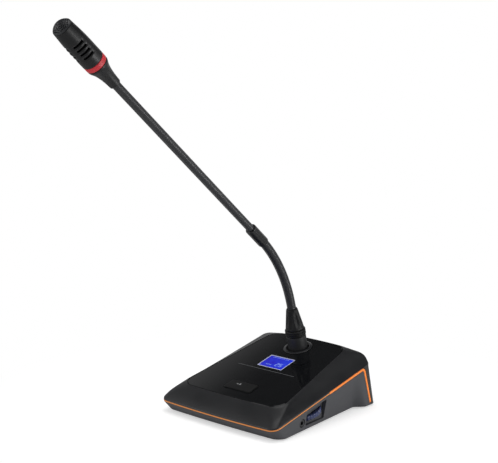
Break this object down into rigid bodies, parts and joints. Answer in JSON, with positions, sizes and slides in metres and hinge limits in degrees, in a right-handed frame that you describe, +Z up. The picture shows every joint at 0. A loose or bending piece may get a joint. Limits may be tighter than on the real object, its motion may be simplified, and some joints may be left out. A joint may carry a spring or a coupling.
{
  "type": "conference delegate unit",
  "caption": "Wedge desk base with sloping panel, blue display, talk key and side wheel, carrying a plug-in gooseneck microphone with a ringed head.",
  "frame": {"origin": "on the desk under the middle of the base, at the undersides of its rubber feet", "axes": "+Z up, -Y towards the talker (the microphone reaches out that way), +X to the talker's right, where the volume wheel and the headphone jack are"},
  "size_m": [0.145, 0.3264, 0.3698],
  "materials": {
    "black_satin": "satin moulded",
    "grey_satin": "satin moulded",
    "orange_trim": "smooth",
    "black_gloss": "polished",
    "white_frame": "smooth",
    "blue_display": "smooth",
    "grey_module": "moulded",
    "key_black": "satin moulded",
    "switch_black": "moulded",
    "switch_red": "moulded",
    "board_green": "lacquered",
    "ring_black": "satin moulded",
    "socket_black": "moulded",
    "plug_black": "glossy black",
    "insert_tan": "moulded",
    "collar_black": "satin moulded",
    "boot_black": "satin",
    "neck_black": "satin black",
    "sleeve_black": "glossy black",
    "stem_black": "satin black",
    "head_black": "satin",
    "ring_red": "frosted",
    "grille_black": "satin black",
    "capsule_metal": "satin",
    "muff_rubber": "matte",
    "wheel_grey": "satin moulded",
    "control_metal": "plain",
    "jack_black": "moulded",
    "link_grey": "moulded",
    "weight_steel": "plain",
    "foot_rubber": "matte",
    "screw_steel": "blackened"
  },
  "bodies": {
    "base": {"top_shell": "black_satin", "lower_shell": "grey_satin", "trim_strip": "orange_trim", "accent_bar_left": "orange_trim", "accent_bar_right": "orange_trim", "panel_plate": "black_gloss", "display_frame": "white_frame", "display_window": "blue_display", "display_module": "grey_module", "talk_switch": "switch_black", "main_board": "board_green", "socket_ring": "ring_black", "mic_socket": "socket_black", "socket_core": "socket_black", "volume_control": "control_metal", "volume_board": "board_green", "headphone_jack": "jack_black", "link_socket_left": "link_grey", "link_socket_right": "link_grey", "link_board": "board_green", "ballast_plate": "weight_steel", "rubber_foot_1": "foot_rubber", "rubber_foot_2": "foot_rubber", "rubber_foot_3": "foot_rubber", "rubber_foot_4": "foot_rubber", "case_screw_1": "screw_steel", "case_screw_2": "screw_steel", "case_screw_3": "screw_steel", "case_screw_4": "screw_steel"},
    "talk_key": {"talk_button": "key_black", "switch_cap": "switch_red"},
    "volume_dial": {"volume_wheel": "wheel_grey"},
    "plug": {"plug_shell": "plug_black", "plug_insert": "insert_tan", "plug_collar": "collar_black", "plug_boot": "boot_black", "neck_link_1": "neck_black"},
    "neck_2": {"neck_link_2": "neck_black"},
    "neck_3": {"neck_link_3": "neck_black"},
    "neck_4": {"neck_link_4": "neck_black"},
    "neck_5": {"neck_link_5": "neck_black"},
    "stem": {"neck_link_6": "neck_black", "joint_sleeve": "sleeve_black", "stem_tube": "stem_black"},
    "head_arm": {"head_link_1": "stem_black"},
    "head": {"head_link_2": "stem_black", "head_collar": "head_black", "light_ring": "ring_red", "head_housing": "head_black", "head_grille": "grille_black", "mic_capsule": "capsule_metal", "capsule_muff": "muff_rubber"}
  },
  "joints": [
    {"name": "talk_press", "type": "slide", "parent": "base", "child": "talk_key", "axis": [0, 0.2362, -0.9717], "range_m": [0, 0.0008], "stiffness_N_per_m": 1500, "springref_m": -0.0005},
    {"name": "volume_turn", "type": "hinge", "parent": "base", "child": "volume_dial", "pos_m": [0.0545, -0.0122, 0.012], "axis": [0, -0.2362, 0.9717], "range_deg": [-150, 150]},
    {"name": "plug_pull", "type": "slide", "parent": "base", "child": "plug", "axis": [0, -0.2362, 0.9717], "range_m": [0, 0.03]},
    {"name": "neck_bend_1", "type": "hinge", "parent": "plug", "child": "neck_2", "pos_m": [0, 0.03169, 0.10731], "axis": [1, 0, 0], "range_deg": [-13, 13]},
    {"name": "neck_turn_1", "type": "hinge", "parent": "neck_2", "child": "neck_3", "pos_m": [0, 0.02592, 0.12107], "axis": [0, 0.9006, 0.4345], "range_deg": [-13, 13]},
    {"name": "neck_bend_2", "type": "hinge", "parent": "neck_3", "child": "neck_4", "pos_m": [0, 0.01874, 0.13415], "axis": [1, 0, 0], "range_deg": [-13, 13]},
    {"name": "neck_turn_2", "type": "hinge", "parent": "neck_4", "child": "neck_5", "pos_m": [0, 0.01022, 0.14639], "axis": [0, 0.7896, 0.6136], "range_deg": [-13, 13]},
    {"name": "neck_bend_3", "type": "hinge", "parent": "neck_5", "child": "stem", "pos_m": [0, 0.00045, 0.15767], "axis": [1, 0, 0], "range_deg": [-13, 13]},
    {"name": "head_bend", "type": "hinge", "parent": "stem", "child": "head_arm", "pos_m": [0, -0.16814, 0.30041], "axis": [1, 0, 0], "range_deg": [-13, 13]},
    {"name": "head_turn", "type": "hinge", "parent": "head_arm", "child": "head", "pos_m": [0, -0.18038, 0.31071], "axis": [0, 0.6435, 0.7655], "range_deg": [-13, 13]}
  ]
}
